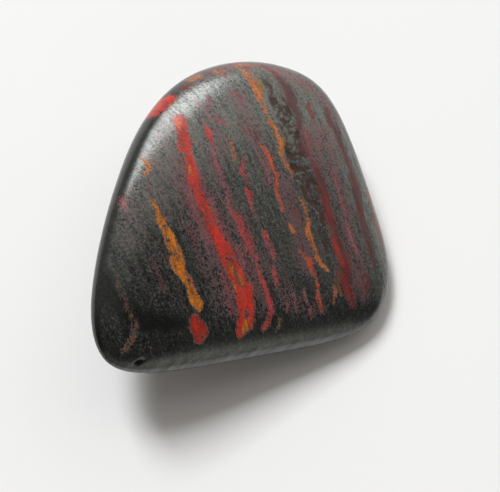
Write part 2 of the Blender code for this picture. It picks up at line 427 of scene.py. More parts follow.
    ("lower rose fleck left", MAUVE_RED, 0.8, [(3.5, -7.4, 0.06), (3.7, -8.0, 0.11), (3.7, -8.6, 0.06)]),
    ("lower rose fleck", MAUVE_RED, 0.8, [(4.2, -7.2, 0.07), (4.4, -7.9, 0.12), (4.5, -8.5, 0.07)]),
    ("lower rose fleck right", ROSE, 0.7, [(5.6, -8.1, 0.08), (5.8, -8.6, 0.14), (5.8, -9.0, 0.07)]),
    ("lower ochre thread", OLIVE, 0.3, [(3.1, -9.3, 0.06), (3.0, -9.8, 0.07), (2.9, -10.2, 0.06)]),
    ("lower dim thread", ROSE, 0.6, [(5.0, -6.6, 0.07), (5.2, -7.1, 0.09), (5.4, -7.7, 0.07)]),
    ("ochre dab", ORANGE_DIM, 0.15, [
        (7.8, -6.0, 0.08), (7.9, -6.4, 0.14), (7.9, -6.7, 0.11), (7.8, -7.2, 0.07), (7.8, -7.6, 0.06),
    ]),
    ("left orange tip", BLOOD, 0.3, [(-7.4, 0.9, 0.08), (-7.3, 0.4, 0.1), (-7.2, -0.2, 0.12)]),
    ("left orange", OCHRE, 0.08, [
        (-7.2, -0.2, 0.1), (-7.0, -0.8, 0.15), (-6.8, -1.3, 0.19), (-6.7, -1.9, 0.29),
        (-6.4, -2.5, 0.31), (-6.1, -3.2, 0.36), (-5.9, -3.9, 0.43), (-5.6, -4.6, 0.51),
        (-5.5, -5.3, 0.59), (-5.4, -5.9, 0.47), (-5.1, -6.4, 0.32), (-4.8, -6.9, 0.34),
        (-4.5, -7.5, 0.34), (-4.3, -8.1, 0.4), (-4.0, -8.6, 0.43), (-3.8, -9.0, 0.26),
        (-3.8, -9.3, 0.09),
    ]),
    ("left orange branch", SCARLET, 0.3, [
        (-5.1, -5.9, 0.08), (-4.8, -6.4, 0.09), (-4.5, -6.8, 0.1), (-4.2, -7.5, 0.1),
    ]),
    ("red blob", DEEP_RED, 0.15, [
        (-4.1, -10.0, 0.36), (-3.9, -10.5, 0.62), (-3.7, -11.0, 0.66), (-3.7, -11.5, 0.4),
    ]),
    ("lower left", BROWN, 0.5, [
        (-9.8, -7.4, 0.1), (-9.7, -7.9, 0.11), (-9.5, -8.4, 0.14), (-9.4, -8.7, 0.12),
        (-9.3, -9.1, 0.11), (-9.1, -9.7, 0.15), (-8.9, -10.1, 0.15), (-8.7, -10.5, 0.15),
        (-8.7, -11.2, 0.15), (-8.8, -11.8, 0.15), (-9.0, -12.3, 0.12), (-9.4, -13.0, 0.08),
    ]),
    ("faint left thread", MAROON, 0.6, [
        (-7.6, -4.8, 0.07), (-7.3, -5.6, 0.08), (-7.0, -6.3, 0.1), (-6.8, -7.1, 0.1),
        (-6.6, -7.7, 0.08),
    ]),
    ("bevel orange", ORANGE, 0.2, [
        (-7.4, 3.4, 0.05), (-7.2, 3.1, 0.13), (-7.1, 2.7, 0.14), (-7.2, 2.3, 0.13), (-7.3, 1.9, 0.06),
    ]),
    ("left bevel rose", ROSE, 0.7, [(-8.9, 0.0, 0.1), (-9.0, -0.6, 0.12), (-9.0, -1.3, 0.08)]),
    ("top rim brown", ORANGE_DIM, 0.4, [(-2.6, 11.4, 0.14), (-2.2, 11.7, 0.17), (-1.8, 11.9, 0.11)]),
    ("top rim orange", ORANGE_DIM, 0.2, [(-0.7, 12.3, 0.14), (-0.4, 12.4, 0.17), (-0.1, 12.4, 0.1)]),
    ("top rim rose", ROSE_RED, 0.5, [(-0.3, 11.9, 0.11), (-0.1, 11.7, 0.11)]),
    ("top rim salmon", ORANGE_DIM, 0.3, [
        (0.9, 13.0, 0.1), (1.5, 13.3, 0.15), (2.2, 13.4, 0.13), (2.6, 13.2, 0.1),
    ]),
    ("top rim maroon", BLOOD, 0.3, [(3.2, 13.3, 0.14), (3.5, 13.0, 0.17), (3.9, 12.6, 0.17)]),
    ("right side red", BLOOD, 0.6, [
        (13.0, 6.2, 0.08), (13.3, 4.0, 0.2), (13.7, 1.4, 0.26), (14.1, -1.2, 0.2), (14.4, -3.0, 0.1),
    ]),
    ("right side rose", ROSE, 0.7, [
        (14.4, 5.4, 0.1), (14.8, 3.0, 0.24), (15.3, 0.2, 0.2), (15.7, -2.4, 0.1),
    ]),
    ("right side ochre", ORANGE_DIM, 0.4, [
        (15.6, 7.0, 0.08), (16.0, 4.6, 0.2), (16.5, 2.0, 0.15), (16.8, -0.2, 0.06),
    ]),
    ("right side maroon", MAROON, 0.6, [
        (16.9, 5.6, 0.12), (17.4, 2.6, 0.32), (17.9, -0.6, 0.36), (18.4, -3.4, 0.16),
    ]),
    ("pink spot", BLOOD, 0.2, [(-3.5, 10.3, 0.11), (-3.2, 10.6, 0.17), (-3.0, 10.8, 0.1)]),
]

# Spots of another colour inside a band, in the same form
INCLUSIONS = [
    ("salmon head", SALMON, 0.4, [(-4.5, 7.4, 0.18), (-4.6, 6.9, 0.26), (-4.6, 6.3, 0.16)]),
    ("ochre in red upper", ORANGE, 0.3, [(-4.2, 2.9, 0.08), (-4.2, 2.4, 0.11), (-4.1, 2.1, 0.06)]),
    ("ochre in red middle", OCHRE, 0.3, [(-1.3, -5.2, 0.16), (-1.1, -5.7, 0.15), (-1.0, -6.1, 0.08)]),
    ("ochre in red right", OCHRE, 0.3, [(-0.6, -5.9, 0.08), (-0.4, -6.3, 0.17), (-0.2, -6.8, 0.1)]),
    ("rust in maroon", RUST, 1.6, [(7.7, -2.1, 0.12), (8.3, -3.3, 0.3), (8.6, -4.1, 0.25)]),
    ("umber in maroon", BROWN, 1.2, [(8.2, -5.0, 0.25), (8.1, -5.9, 0.3), (8.5, -6.6, 0.2)]),
    ("ochre in red lower", OCHRE, 0.0, [(0.2, -9.8, 0.19), (0.2, -10.3, 0.29), (0.0, -10.7, 0.19)]),
    ("orange in red thread", ORANGE, 0.2, [(-1.0, -6.6, 0.1), (-0.8, -7.3, 0.12)]),
]

# Dark holes in the bands: name, place, half sizes
HOLES = [
    ("main red upper", (-4.6, 3.8), (0.29, 0.17)),
    ("main red fork", (-1.3, -4.7), (0.38, 0.13)),
    ("main red middle", (-0.8, -5.8), (0.19, 0.27)),
    ("main red lower", (0.2, -9.2), (0.17, 0.38)),
    ("left orange upper", (-6.3, -2.5), (0.19, 0.15)),
    ("left orange second", (-6.1, -3.6), (0.19, 0.08)),
    ("left orange notch", (-6.1, -4.8), (0.24, 0.11)),
    ("left orange right notch", (-5.5, -4.4), (0.13, 0.11)),
    ("left orange fork", (-4.9, -6.3), (0.19, 0.10)),
    ("left orange fork lower", (-4.6, -6.8), (0.19, 0.14)),
    ("blob speck", (-3.8, -10.2), (0.11, 0.10)),
    ("blob speck lower", (-3.4, -11.3), (0.14, 0.11)),
]

# The broken zone: dark brown rock, with points in the same form, between islands of grey hematite
BROKEN_ZONE = [
    (2.7, 11.8, 0.19), (2.9, 11.1, 0.38), (3.3, 10.2, 0.6), (3.6, 9.2, 0.75), (3.9, 8.3, 0.8),
    (4.2, 7.3, 0.86), (4.4, 6.4, 0.95), (4.6, 5.3, 1.0), (4.9, 4.4, 1.05), (5.1, 3.4, 0.9),
    (5.5, 2.5, 0.8), (5.9, 1.5, 0.8), (6.2, 0.5, 0.7), (6.5, -0.6, 0.55), (6.8, -1.6, 0.45),
    (7.0, -2.6, 0.25), (7.2, -3.4, 0.1),
]
# Islands: place and half sizes
ISLANDS = [
    (3.7, 12.7, 0.57, 0.48),
    (3.3, 10.9, 0.85, 0.95),
    (3.2, 8.7, 0.75, 0.85),
    (3.6, 9.7, 0.6, 0.55),
    (4.2, 7.6, 0.6, 0.8),
    (3.7, 6.4, 0.55, 0.65),
    (4.4, 5.7, 0.5, 0.55),
    (4.9, 4.4, 0.95, 0.4),
    (4.9, 2.8, 0.65, 0.65),
    (4.4, 2.1, 0.3, 0.3),
    (5.9, 1.7, 0.5, 0.55),
    (5.5, 0.4, 0.5, 0.5),
    (6.8, 0.8, 0.4, 0.55),
    (6.3, -0.7, 0.3, 0.55),
    (7.0, -1.5, 0.4, 0.75),
    (5.5, 6.5, 0.3, 0.6),
    (5.0, 8.2, 0.3, 0.5),
    (4.6, 9.6, 0.3, 0.6),
    (5.9, 3.6, 0.35, 0.4),
]

# Clouds of mauve grains in the grey: name, how dense, points down the middle
CLOUDS = [
    ("left of main red", 0.65, [
        (-5.0, 3.6, 0.5), (-5.0, 1.6, 0.9), (-4.6, -0.6, 1.0), (-4.0, -2.8, 1.1), (-3.2, -5.0, 1.1),
        (-2.2, -7.4, 1.1), (-1.6, -9.4, 0.9),
    ]),
    ("around main red", 1.0, [
        (-4.2, 2.9, 0.5), (-3.5, 0.3, 0.9), (-2.7, -2.2, 1.1), (-1.5, -4.6, 1.2), (-0.4, -7.0, 1.2),
        (0.2, -9.1, 1.0),
    ]),
    ("between the reds", 0.85, [
        (-2.3, 3.5, 0.5), (-1.6, 1.0, 0.7), (-0.6, -1.5, 0.8), (0.4, -3.9, 0.9), (1.2, -6.4, 0.9),
        (1.8, -8.4, 0.9),
    ]),
    ("upper middle", 0.5, [(-2.6, 8.6, 0.6), (-2.2, 7.0, 0.7), (-1.6, 5.0, 0.6)]),
    ("beside the right orange", 0.7, [
        (0.2, 9.8, 0.8), (0.7, 7.5, 0.9), (1.2, 5.8, 0.9), (1.9, 4.1, 0.7), (2.2, 2.2, 0.5),
    ]),
    ("middle", 1.05, [
        (3.4, 2.6, 0.5), (3.9, 0.4, 0.8), (4.4, -1.0, 0.9), (4.9, -2.3, 0.9), (5.2, -3.7, 0.8),
        (5.4, -5.0, 0.6),
    ]),
    ("lower middle", 0.6, [
        (1.6, -3.4, 0.8), (2.6, -5.2, 1.1), (3.4, -6.8, 1.3), (4.4, -8.0, 1.3), (5.8, -8.5, 0.9),
        (7.0, -7.6, 0.8),
    ]),
    ("right of the maroon", 0.85, [
        (7.4, 7.4, 0.6), (7.9, 4.6, 0.6), (8.5, 1.6, 0.6), (9.2, -1.4, 0.8), (10.0, -4.0, 0.9),
        (10.2, -6.6, 0.9),
    ]),
    ("beside the maroon", 0.85, [(6.4, 8.0, 0.4), (6.6, 5.6, 0.5), (7.0, 3.4, 0.5)]),
    ("left bevel", 0.4, [(-8.7, 1.1, 0.5), (-8.8, -1.2, 0.8), (-8.5, -3.8, 0.8)]),
    ("upper left", 0.35, [(-5.5, 6.6, 0.7), (-6.4, 3.3, 0.9), (-6.6, 0.6, 0.9), (-6.2, -1.6, 0.7)]),
    ("left", 0.25, [(-7.4, -3.5, 0.6), (-6.8, -6.0, 0.8), (-6.2, -8.5, 0.8)]),
    ("top rim", 0.9, [
        (-3.2, 10.8, 0.3), (-1.7, 12.1, 0.4), (1.1, 13.2, 0.5), (3.7, 13.2, 0.6), (6.4, 11.9, 0.6),
        (8.8, 9.3, 0.5),
    ]),
]

# Painted shade on the lower left of the face, where it mirrors the dark camera side, in the same form
PAINTED_SHADE_CLOUDS = [
    ("lower left", 0.75, [
        (-10.8, -6.6, 0.6), (-10.0, -8.6, 1.0), (-8.6, -10.2, 1.1), (-6.8, -10.5, 0.9),
        (-5.2, -10.4, 0.4),
    ]),
]


def directions(azimuth, elevation):
    """Unit vectors for angles in degrees, as rows."""
    around = np.radians(azimuth)
    up = np.radians(elevation)
    return np.stack([np.cos(around) * np.cos(up), np.sin(around) * np.cos(up), np.sin(up)], axis=-1)


def lean():
    """The matrix that turns the level polished face to its lean, about +Y and then about +X."""
    right = math.radians(LEAN_RIGHT)
    front = math.radians(LEAN_FRONT)
    about_y = np.array(
        [[math.cos(right), 0, math.sin(right)], [0, 1, 0], [-math.sin(right), 0, math.cos(right)]]
    )
    about_x = np.array(
        [[1, 0, 0], [0, math.cos(front), -math.sin(front)], [0, math.sin(front), math.cos(front)]]
    )
    return about_x @ about_y


def blend(terms, sharpness):
    """The rounded largest of several columns: 1 where a direction meets the surface at unit length."""
    return (terms**sharpness).sum(axis=-1) ** (1 / sharpness)


def nearness(outward, faces):
    """For each direction and face, one over the distance at which a ray from the inner point meets it."""
    azimuth, elevation, distance = np.array(list(faces.values())).T
    normals = directions(azimuth, elevation) @ lean().T
    return np.clip(outward @ normals.T / distance, 0, None)


def belly_nearness(outward):
    """For each direction, one over the distance at which a ray from the inner point meets the wide ball."""
    centre = np.array([BELLY_CENTRE[0], BELLY_CENTRE[1], BELLY_RADIUS - BELLY_DEPTH])
    along = outward @ centre
    reach = along + np.sqrt(along**2 - centre @ centre + BELLY_RADIUS**2)
    return 1 / reach


def surface_distance(outward):
    """How far the pebble's surface is from the inner point, in mm, along unit vectors given as rows."""
    sides = blend(nearness(outward, SIDES), SIDE_SHARPNESS)
    top = blend(nearness(outward, TOP), RIM_SHARPNESS)
    under = np.column_stack([nearness(outward, UNDERSIDE), belly_nearness(outward)])
    belly = blend(under, BELLY_SHARPNESS)
    return 1 / blend(np.column_stack([sides, top, belly]), RIM_SHARPNESS)


def settle(points):
    """Slides points along their rays from the inner point onto the pebble's surface."""
    outward = points / np.linalg.norm(points, axis=1)[:, None]
    settled = outward * surface_distance(outward)[:, None]
    settled[:, 2] = np.maximum(settled[:, 2], -FLAT_SPOT_DEPTH)
    return settled


def ruled_box(cells):
    """Corner places, from -1 to 1, and four-sided faces of a box whose six sides are ruled into cells."""
    quads = []
    for axis in range(3):
        first, second = (axis + 1) % 3, (axis + 2) % 3
        across, along = np.meshgrid(np.arange(cells[first]), np.arange(cells[second]), indexing="ij")
        for level, turn in ((0, -1), (cells[axis], 1)):
            corners = []
            for step_across, step_along in ((0, 0), (1, 0), (1, 1), (0, 1))[::turn]:
                corner = np.empty(across.shape + (3,), int)
                corner[..., axis] = level
                corner[..., first] = across + step_across
                corner[..., second] = along + step_along
                corners.append(corner.reshape(-1, 3))
            quads.append(np.stack(corners, axis=1))
    quads = np.concatenate(quads)
    places, index = np.unique(quads.reshape(-1, 3), axis=0, return_inverse=True)
    return 2 * places / np.array(cells) - 1, index.reshape(-1, 4)


def pebble_grid():
    """Points on the pebble's surface about the inner point, and the faces between them."""
    turn = lean()
    box, faces = ruled_box(CELLS)
    coarse = settle(ruled_box(COARSE_CELLS)[0] @ turn.T) @ turn
    low, high = coarse.min(axis=0), coarse.max(axis=0)
    leaning = box * (high - low) / 2 + (high + low) / 2
    return settle(leaning @ turn.T), faces


def vertex_normals(points, faces):
    """Unit normals of the smooth surface at each point."""
    diagonals = points[faces[:, 2]] - points[faces[:, 0]], points[faces[:, 3]] - points[faces[:, 1]]
    facing = np.cross(*diagonals)
    normals = np.zeros_like(points)
    for corner in range(4):
        np.add.at(normals, faces[:, corner], facing)
    return normals / np.linalg.norm(normals, axis=1)[:, None]


def foot_of(low, high):
    """The point under the middle of a box, level with its bottom."""
    return np.array([(low[0] + high[0]) / 2, (low[1] + high[1]) / 2, low[2]])


def smooth_step(low, high, values):
    """Values as a share from 0 at the low end to 1 at the high end, with no kink at either."""
    t = np.clip((values - low) / (high - low), 0, 1)
    return t * t * (3 - 2 * t)


def grain(points, size, seed):
    """Smooth noise from about -1 to 1 at points in mm, with features of about the given size in mm."""
    shift = Vector((seed, 2.3 * seed, 3.1 * seed))
    return np.array([noise.noise(Vector(point) + shift) for point in points / size])


def turned(across, along, angle):
    """Two coordinates in the directions turned by an angle in degrees."""
    turn = math.radians(angle)
    return across * math.cos(turn) + along * math.sin(turn), along * math.cos(turn) - across * math.sin(turn)


def linear(colour):
    """A colour given from 0 to 255, as the light it reflects in each of red, green and blue."""
    part = np.array(colour, float) / 255
    return np.where(part <= 0.04045, part / 12.92, ((part + 0.055) / 1.055) ** 2.4)


def smooth_line(points):
    """Points about a STEP apart on a smooth curve through the given ones, as x, y and half width."""
    points = np.array(points, float)
    padded = np.vstack([2 * points[0] - points[1], points, 2 * points[-1] - points[-2]])
    pieces = []
    for before, start, end, after in zip(padded, padded[1:], padded[2:], padded[3:]):
        count = max(2, math.ceil(np.linalg.norm((end - start)[:2]) / STEP))
        t = np.linspace(0, 1, count, endpoint=False)[:, None]
        bend = (2 * before - 5 * start + 4 * end - after) * t**2
        twist = (3 * start - before - 3 * end + after) * t**3
        pieces.append(start + ((end - before) * t + bend + twist) / 2)
    return np.vstack(pieces + [points[-1:]])


def reach_of(places, points, outside=FAR_OUTSIDE):
    """How far each place is inside a band, in mm: negative outside it, and no lower than outside."""
    line = smooth_line(points)
    margin = line[:, 2].max() - outside
    low, high = line[:, :2].min(axis=0) - margin, line[:, :2].max(axis=0) + margin
    near = np.flatnonzero(((places > low) & (places < high)).all(axis=1))
    close = np.full(len(near), outside)
    for x, y, half_width in line:
        away = np.hypot(places[near, 0] - x, places[near, 1] - y)
        close = np.maximum(close, half_width - away)
    reach = np.full(len(places), outside)
    reach[near] = close
    return reach


def oval_reach(places, centre, half_size):
    """How far each place is inside an oval, in mm, roughly."""
    away = np.hypot((places[:, 0] - centre[0]) / half_size[0], (places[:, 1] - centre[1]) / half_size[1])
    return np.maximum((1 - away) * min(half_size), FAR_OUTSIDE)


def layer_places(points, foot):
    """Where the layer through each point meets the plane of the polished face, and how deep the point is."""
    normal = lean() @ np.array([0.0, 0.0, 1.0])
    rise = np.array([LAYER_DIP, 0.0, 1.0])
    depth = (TOP["polished face"][2] - points @ normal) / (rise @ normal)
    places = (points + depth[:, None] * rise - foot)[:, :2]
    wander = [width * grain(points, WANDER_SIZE, seed) for width, seed in WANDER]
    share = smooth_step(SEEN_DEPTH, SEEN_DEPTH + WANDER_STRETCH, depth)
    return places + share[:, None] * np.column_stack(wander), depth


def band_measures(points, places, depth):
    """At each point the reach into the bands, the band colour there and how grainy the band is."""
    reaches = np.stack([reach_of(places, line) for _, _, _, line in BANDS])
    colours = np.array([linear(colour) for _, colour, _, _ in BANDS])
    grit = np.array([grainy for _, _, grainy, _ in BANDS])
    reach = reaches.max(axis=0)
    weight = np.exp((reaches - reach) / BLEND)
    weight /= weight.sum(axis=0)
    colour = weight.T @ colours
    grit = weight.T @ grit
    for _, centre, half_size in HOLES:
        reach = np.minimum(reach, -oval_reach(places, centre, half_size))
    for _, spot, grainy, line in INCLUSIONS:
        inside = reach_of(places, line)
        share = smooth_step(-BLEND, BLEND, inside)
        colour = colour * (1 - share[:, None]) + linear(spot) * share[:, None]
        grit = grit * (1 - share) + grainy * share
        reach = np.maximum(reach, inside)
    unevenly = 1 + THINNING_UNEVENNESS * grain(points, THINNING_SIZE, THINNING_SEED)
    reach -= THINNING * np.clip(depth - SEEN_DEPTH, 0, None) * unevenly
    return reach, colour, grit


def broken_measure(points, places):
    """The reach into the brown rock of the broken zone, between its grey islands."""
    zone = reach_of(places, BROKEN_ZONE)
    wobble = sum(width * grain(points, size, seed) for width, size, seed in ISLAND_WOBBLES)
    between = zone
    for x, y, half_x, half_y in ISLANDS:
        outside_island = -oval_reach(places, (x, y), (half_x, half_y))
        between = np.minimum(between, outside_island + wobble - ISLAND_SEAM)
    jagged = np.abs(grain(points * CRACK_STRETCH, CRACK_SIZE, CRACK_SEED))
    cracks = CRACK_REACH - CRACK_NARROWING * jagged
    return np.maximum(between, np.minimum(zone, cracks))


def cloud_measure(places, clouds):
    """How dense the clouds are at each place, from 0 to 1."""
    dense = np.zeros(len(places))
    for _, strength, points in clouds:
        core = reach_of(places, np.array(points) * (1, 1, CLOUD_CORE), outside=FAR_FROM_CLOUD)
        dense = np.maximum(dense, strength * smooth_step(*CLOUD_EDGE, core))
    return dense


def painted_flank_shade(points, normals, depth):
    """How much painted shade darkens the left flank at each point, from 0 to 1."""
    width, size, seed = FLANK_WOBBLE
    fade = smooth_step(*FLANK_FADE, depth + width * grain(points, size, seed))
    return FLANK_PAINTED_SHADE * smooth_step(*FLANK_FACING, -normals[:, 0]) * (1 - fade)


def pit_measure(points):
    """How far into the natural pit each point of the surface is, from 0 at its rim to 1 in its middle."""
    place = settle(directions(*PIT_PLACE)[None, :])[0]
    facing = Vector(directions(*PIT_FACING)).to_track_quat("Z", "Y").to_matrix()
    local = (points - place) @ np.array(facing) / np.array(PIT_HALF_SIZE)
    inside = np.clip(PIT_RIM - local[:, 0] ** 2 - local[:, 1] ** 2, 0, 1)
    return smooth_step(0, 1, inside) * (np.abs(local[:, 2]) < PIT_HEIGHT)


def rock_measures(points, normals, foot):
    """What the material reads at each point of the mesh, by name."""
    places, depth = layer_places(points, foot)
    reach, colour, grit = band_measures(points, places, depth)
    # Painted shade: the left flank and the lower left of the face, darker where they mirror the dark room
    painted_shade = np.maximum(cloud_measure(places, PAINTED_SHADE_CLOUDS), painted_flank_shade(points, normals, depth))
    near_edge = NEAR_EDGE_PLAINNESS * smooth_step(*NEAR_EDGE_FACING, -normals[:, 1])
    wear = smooth_step(*WORN_FACING, -normals[:, 1])
    across, along = turned(places[:, 0], places[:, 1], STRIKE)
    wear_along, wear_across = turned(points[:, 0], points[:, 1], WEAR_SLANT)
    return {
        "band_reach": reach,
        "band_colour": colour,
        "band_grit": grit,
        "band_place": np.column_stack([across, along, depth]),
        "broken_reach": broken_measure(points, places),
        "cloud": cloud_measure(places, CLOUDS),
        "painted_shade": painted_shade,
        "calm": np.maximum.reduce([painted_shade, near_edge, wear]),
        "pit": pit_measure(points),
        "wear": wear,
        "wear_place": np.column_stack([wear_across, wear_along, np.zeros(len(points))]),
    }


def relief(points, measures):
    """How far each point stands out from the smooth form, in mm."""
    height = sum(rise * grain(points, size, seed) for rise, size, seed in UNEVENNESS)
    height -= BROKEN_DEPTH * smooth_step(*BROKEN_STEP, measures["broken_reach"])
    height -= BAND_DEPTH * smooth_step(*BAND_STEP, measures["band_reach"])
    height -= PIT_HALF_SIZE[2] * measures["pit"]
    height[points[:, 2] < -FLAT_SPOT_DEPTH + FLAT_MARGIN] = 0
    return height


def write_measure(mesh, name, values):
    """Stores one number or vector for each point of the mesh."""
    kind, field = ("FLOAT", "value") if values.ndim == 1 else ("FLOAT_VECTOR", "vector")
    layer = mesh.attributes.new(name, kind, "POINT")
    layer.data.foreach_set(field, values.astype(np.float32).ravel())


def make_stone():
    """The pebble as one fine mesh, where the plain solid stands."""
    points, faces = pebble_grid()
    normals = vertex_normals(points, faces)
    foot = foot_of(points.min(axis=0), points.max(axis=0))
    measures = rock_measures(points, normals, foot)
    raised = points + normals * relief(points, measures)[:, None]
    raised[:, 2] = np.maximum(raised[:, 2], -FLAT_SPOT_DEPTH)

    mesh = bpy.data.meshes.new("banded_ironstone")
    places = (raised - foot) * MM + foot_of(*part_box("stone"))
    mesh.from_pydata(places.tolist(), [], faces.tolist())
    mesh.shade_smooth()
    for name, values in measures.items():
        write_measure(mesh, name, values)
    mesh.materials.append(stone_material())

    stone = bpy.data.objects.new("banded_ironstone", mesh)
    bpy.context.scene.collection.objects.link(stone)
    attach(stone, "root")
    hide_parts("stone")


class Nodes:
    """Short ways to add nodes to a tree. A value is a number, a tuple or another node's output."""

    def __init__(self, tree):
        self.tree = tree

    def feed(self, socket, value):
        """Links or sets an input."""
        if isinstance(value, bpy.types.NodeSocket):
            self.tree.links.new(value, socket)
        else:
            socket.default_value = value

    def math(self, operation, first, second):
        """One operation on two numbers."""
        node = self.tree.nodes.new("ShaderNodeMath")
        node.operation = operation
        self.feed(node.inputs[0], first)
        self.feed(node.inputs[1], second)
        return node.outputs[0]

    def vector_math(self, operation, first, second, result="Vector"):
        """One operation on two vectors, or on a vector and a number where it scales one."""
        node = self.tree.nodes.new("ShaderNodeVectorMath")
        node.operation = operation
        self.feed(node.inputs[0], first)
        self.feed(node.inputs["Scale" if operation == "SCALE" else 1], second)
        return node.outputs[result]

    def times(self, first, second):
        """The product of two numbers."""
        return self.math("MULTIPLY", first, second)

    def total(self, *terms):
        """The sum of terms, each a value or a value with its weight."""
        values = [self.times(*term) if isinstance(term, tuple) else term for term in terms]
        result = values[0]
        for value in values[1:]:
            result = self.math("ADD", result, value)
        return result

    def step(self, value, low, high, to_low=0.0, to_high=1.0):
        """The value's place between low and high, smoothly, as a share between the other two."""
        node = self.tree.nodes.new("ShaderNodeMapRange")
        node.interpolation_type = "SMOOTHSTEP"
        self.feed(node.inputs["Value"], value)
        self.feed(node.inputs["From Min"], low)
        self.feed(node.inputs["From Max"], high)
        self.feed(node.inputs["To Min"], to_low)
        self.feed(node.inputs["To Max"], to_high)
        return node.outputs["Result"]


class StoneNodes(Nodes):
    """The nodes of the stone's material, with its noises and the measures that the mesh carries."""

    def __init__(self, material):
        super().__init__(material.node_tree)
        self.shader = self.tree.nodes["Principled BSDF"]
        place = self.attribute("band_place", "Vector")
        self.noises = {name: self.noise(place, *settings) for name, settings in NOISES.items()}
        self.cloud = self.attribute("cloud")
        self.calm = self.attribute("calm")
        self.plain = self.step(self.calm, *PLAIN_RANGE)

    def attribute(self, name, output="Fac"):
        """A measure that the mesh carries."""
        node = self.tree.nodes.new("ShaderNodeAttribute")
        node.attribute_name = name
        return node.outputs[output]

    def noise(self, vector, sizes, detail, shift):
        """Noise around 0, from about -0.5 to 0.5, with features of the given sizes in mm."""
        node = self.tree.nodes.new("ShaderNodeTexNoise")
        node.noise_dimensions = "4D"
        node.inputs["W"].default_value = shift
        node.inputs["Scale"].default_value = 1.0
        node.inputs["Detail"].default_value = detail
        node.inputs["Roughness"].default_value = NOISE_ROUGHNESS
        scaled = self.vector_math("MULTIPLY", vector, tuple(1 / size for size in sizes))
        self.feed(node.inputs["Vector"], scaled)
        return self.math("SUBTRACT", node.outputs["Fac"], 0.5)

    def grains(self, recipe):
        """The noises added up in the amounts that the recipe gives."""
        return self.total(*[(self.noises[name], amount) for name, amount in recipe.items()])

    def mix(self, share, first, second, kind="RGBA"):
        """Two colours, or two numbers with kind FLOAT, mixed by a share from 0 to 1."""
        node = self.tree.nodes.new("ShaderNodeMix")
        node.data_type = kind
        first_input, second_input, output = {"RGBA": (6, 7, 2), "FLOAT": (2, 3, 0)}[kind]
        self.feed(node.inputs[0], share)
        self.feed(node.inputs[first_input], first)
        self.feed(node.inputs[second_input], second)
        return node.outputs[output]

    def shaded(self, colour, factor):
        """The colour, made lighter or darker by a factor."""
        return self.vector_math("SCALE", colour, factor)


def solid(colour):
    """A colour given from 0 to 255, for a colour socket."""
    return tuple(linear(colour)) + (1.0,)


def hematite(nodes):
    """The grey of hematite, streaky and grained, but even where the rock is calm."""
    shade = nodes.step(nodes.grains(HEMATITE_GRAINS), *HEMATITE_RANGE)
    shade = nodes.mix(nodes.times(nodes.calm, CALMING), shade, 0.5, "FLOAT")
    return nodes.mix(shade, solid(HEMATITE_DARK), solid(HEMATITE))


def mauve_share(nodes):
    """Where mauve grains lie in the grey, most densely in the clouds."""
    dense = nodes.total((nodes.cloud, CLOUD_IN_MAUVE), nodes.grains(MAUVE_GRAINS))
    return nodes.times(nodes.step(dense, *MAUVE_RANGE), nodes.plain)


def thread_share(nodes):
    """Where faint threads of red grains run along the layers."""
    thread = nodes.total((nodes.cloud, CLOUD_IN_THREADS), nodes.grains(THREAD_GRAINS))
    return nodes.times(nodes.step(thread, *THREAD_RANGE), nodes.plain)


def broken_share(nodes):
    """Where brown rock shows in the broken zone."""
    broken = nodes.total(nodes.attribute("broken_reach"), nodes.grains(BROKEN_GRAINS))
    return nodes.times(nodes.step(broken, *BROKEN_RANGE), BROKEN_COVER)


def band_share(nodes):
    """Where the bands lie, with frayed edges and thin spots."""
    grit = nodes.math("ADD", nodes.attribute("band_grit"), LEAST_GRIT)
    grains = nodes.times(nodes.noises["fine"], grit)
    frayed = nodes.total(nodes.attribute("band_reach"), (nodes.noises["ragged"], BAND_FRAYING), grains)
    cover = nodes.step(nodes.grains(COVER_GRAINS), *COVER_RANGE)
    return nodes.times(nodes.step(frayed, *BAND_RANGE), cover)


def painted_shade_factor(nodes):
    """The factor of painted shade that darkens the left flank and the lower left of the face."""
    painted_shade = nodes.total(nodes.attribute("painted_shade"), nodes.grains(DARK_GRAINS))
    return nodes.step(painted_shade, *DARK_RANGE)


def wear_lines(nodes):
    """The factor that darkens and lightens the slanting lines of wear along the straight edge."""
    lines = nodes.noise(nodes.attribute("wear_place", "Vector"), *WEAR_NOISE)
    return nodes.mix(nodes.attribute("wear"), 1.0, nodes.step(lines, *WEAR_RANGE), "FLOAT")


def bump(nodes):
    """The fine grain of the polished surface, lower where the rock is calm."""
    node = nodes.tree.nodes.new("ShaderNodeBump")
    node.inputs["Strength"].default_value = 1.0
    node.inputs["Distance"].default_value = 1.0
    height = nodes.times(nodes.grains(BUMP_GRAINS), nodes.step(nodes.calm, *BUMP_RANGE))
    nodes.feed(node.inputs["Height"], nodes.times(height, MM))
    return node.outputs["Normal"]


